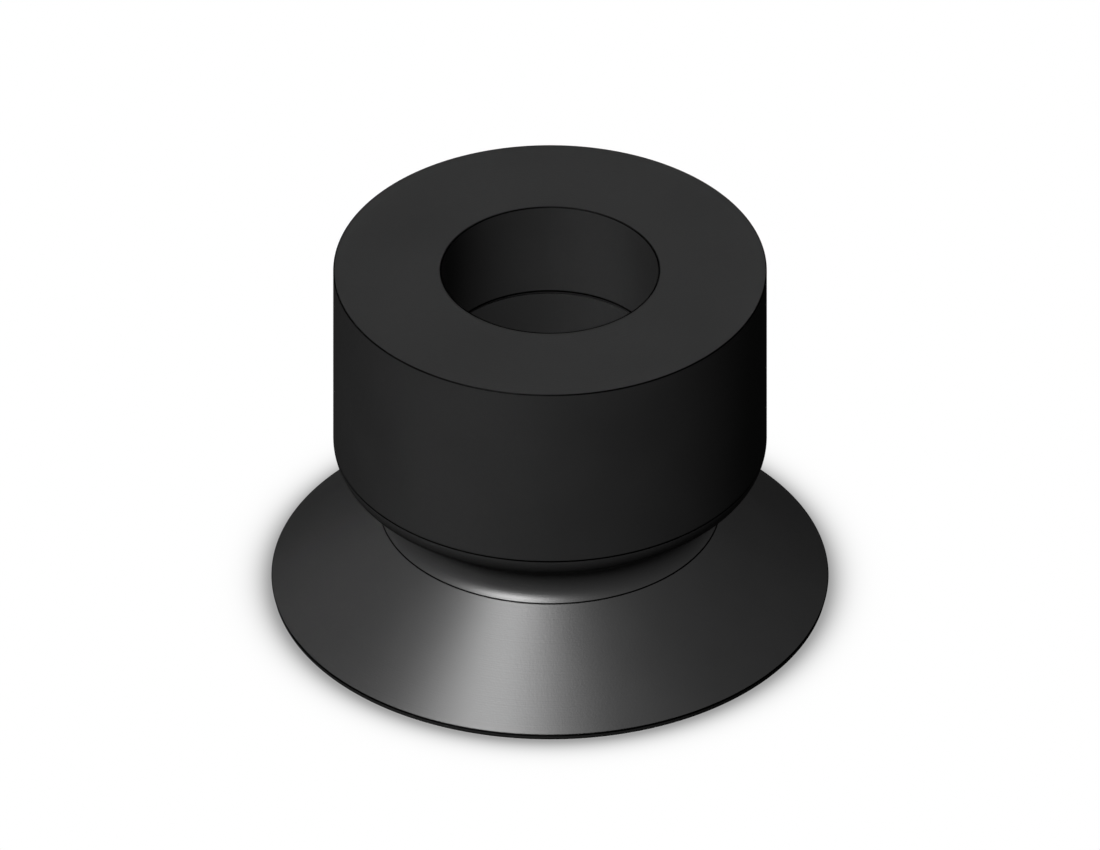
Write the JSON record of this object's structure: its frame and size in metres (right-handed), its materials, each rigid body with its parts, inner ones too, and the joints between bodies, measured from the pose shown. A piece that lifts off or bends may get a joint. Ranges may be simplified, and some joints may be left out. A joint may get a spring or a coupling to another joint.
{
  "type": "flat vacuum pad",
  "caption": "Moulded rubber flat vacuum pad: a thick sleeve body, a grooved neck and a thin conical suction lip, with an undercut socket for a push-in fitting.",
  "frame": {"origin": "centre of the sealing edge's circle, in the plane that the pad seals and stands on", "axes": "+Z along the pad's axis, from the suction lip towards the bore's mouth; the pad is round, so X and Y are any two directions across it"},
  "size_m": [0.018, 0.018, 0.0122],
  "materials": {
    "black_rubber": "satin, as moulded"
  },
  "bodies": {
    "root": {"vacuum_pad": "black_rubber"}
  },
  "joints": []
}
